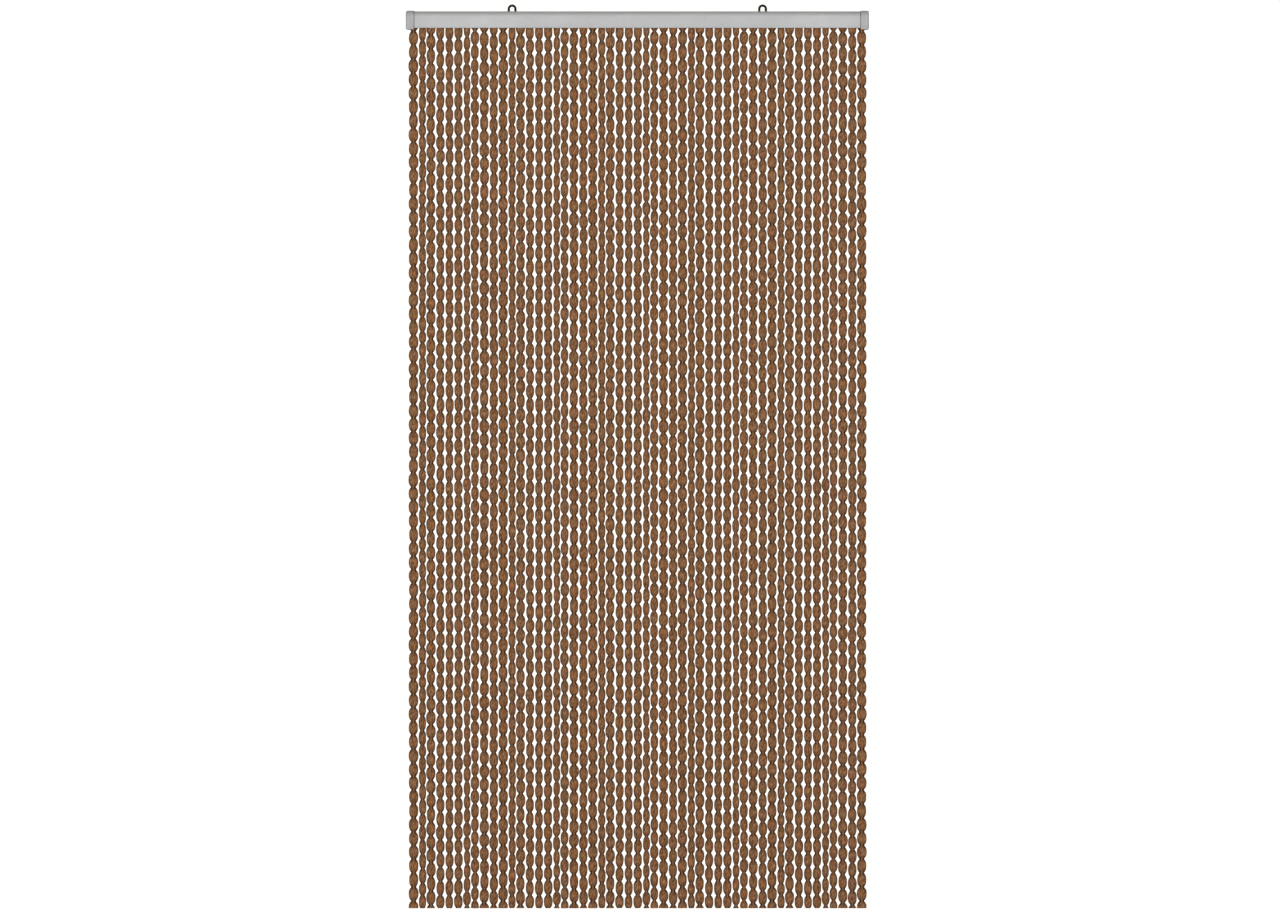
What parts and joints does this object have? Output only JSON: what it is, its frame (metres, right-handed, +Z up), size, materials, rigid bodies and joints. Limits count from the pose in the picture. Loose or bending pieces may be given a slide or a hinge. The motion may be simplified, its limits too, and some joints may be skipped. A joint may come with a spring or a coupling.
{
  "type": "pom pom string curtain on a rail",
  "caption": "Doorway curtain of free-hanging pom pom strands on a slim metal rail with plastic end caps and two wire eyes to hang it by.",
  "frame": {"origin": "midway between the two hanging eyes, at the top of their inside, where the hooks that carry the curtain bear", "axes": "+X along the rail to the right as seen from the front, +Y from the front to the back, +Z up"},
  "size_m": [1, 0.029, 1.9517],
  "materials": {
    "rail": "satin",
    "end_cap": "matt",
    "eye": "satin black",
    "yarn": "matt brown pile"
  },
  "bodies": {
    "root": {"rail": "rail", "end_cap_left": "end_cap", "end_cap_right": "end_cap", "hanging_eye_left": "eye", "hanging_eye_right": "eye", "strands_left": "yarn", "strands_middle": "yarn", "strands_right": "yarn"}
  },
  "joints": []
}
